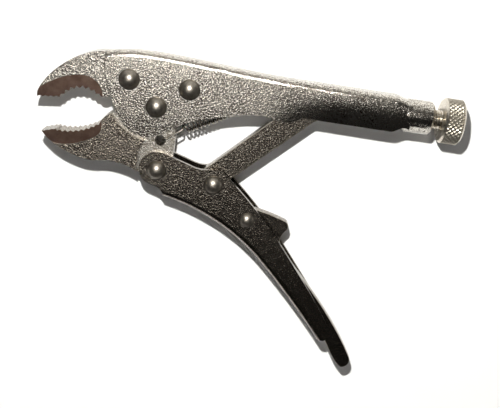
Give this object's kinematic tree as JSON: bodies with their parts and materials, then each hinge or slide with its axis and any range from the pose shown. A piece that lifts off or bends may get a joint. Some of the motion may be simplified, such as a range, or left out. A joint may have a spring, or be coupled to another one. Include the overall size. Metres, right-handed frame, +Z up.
{
  "type": "locking pliers",
  "caption": "Curved-jaw locking pliers with riveted jaws, folded channel handles, toggle link, release lever, pull spring and knurled adjusting screw, lying open.",
  "frame": {"origin": "on the jaw pivot's axis, on the surface that the pliers lie on", "axes": "+X along the adjusting screw towards its knob, +Y from the jaw pivot towards the spine of the upper handle, +Z up, from the flat rivet backs to the domed rivet heads"},
  "size_m": [0.1277, 0.0943, 0.0138],
  "materials": {
    "pressed_handle": "nickel plate over grit-blasted pressed steel, bright and finely pitted",
    "forged_jaw": "nickel plate over grit-blasted forged steel, with smooth dark ground bands beside the teeth",
    "link_bar": "nickel plate over grit-blasted steel bar",
    "release_plate": "nickel plate over flat steel, finely pitted",
    "screw_thread": "cut thread, nickel plated",
    "knurled_knob": "satin nickel plate over a diamond knurl",
    "spring_wire": "bright drawn spring wire",
    "rivet_polish": "smooth polished nickel plate"
  },
  "bodies": {
    "handle": {"upper_handle": "pressed_handle", "fixed_jaw": "forged_jaw", "front_jaw_rivet": "rivet_polish", "rear_jaw_rivet": "rivet_polish", "jaw_pivot_rivet": "rivet_polish", "screw_bush": "screw_thread", "return_spring": "spring_wire"},
    "jaw": {"movable_jaw": "forged_jaw"},
    "lever": {"lower_handle": "pressed_handle", "lever_pivot_rivet": "rivet_polish", "link_pivot_rivet": "rivet_polish", "release_pivot_rivet": "rivet_polish"},
    "link": {"toggle_link": "link_bar"},
    "release": {"release_lever": "release_plate"},
    "screw": {"adjusting_screw": "screw_thread"},
    "knob": {"adjusting_knob": "knurled_knob"}
  },
  "joints": [
    {"name": "jaw_swing", "type": "hinge", "parent": "handle", "child": "jaw", "pos_m": [0, 0, 0.00695], "axis": [0, 0, 1], "range_deg": [-16.3, 0], "stiffness_Nm_per_rad": 0.1, "springref_deg": 20.05, "deforming": ["return_spring"]},
    {"name": "lever_swing", "type": "hinge", "parent": "jaw", "child": "lever", "pos_m": [0.0022, -0.0193, 0.00695], "axis": [0, 0, 1], "range_deg": [0, 47.3]},
    {"name": "link_swing", "type": "hinge", "parent": "lever", "child": "link", "pos_m": [0.02, -0.0215, 0.00695], "axis": [0, 0, 1], "range_deg": [-47.3, 0]},
    {"name": "release_swing", "type": "hinge", "parent": "lever", "child": "release", "pos_m": [0.0319, -0.0312, 0.00695], "axis": [0, 0, 1], "range_deg": [0, 12]},
    {"name": "screw_feed", "type": "slide", "parent": "handle", "child": "screw", "axis": [1, 0, 0], "range_m": [0, 0.012]},
    {"name": "knob_turn", "type": "hinge", "parent": "screw", "child": "knob", "pos_m": [0.088, 0.008, 0.00695], "axis": [1, 0, 0], "range_deg": [0, 4320]}
  ],
  "couplings": [
    {"joint": "lever_swing", "follows": "jaw_swing", "ratio": -2.9},
    {"joint": "link_swing", "follows": "jaw_swing", "ratio": 2.9},
    {"joint": "screw_feed", "follows": "knob_turn", "m_per_rad": 0.00015915}
  ]
}
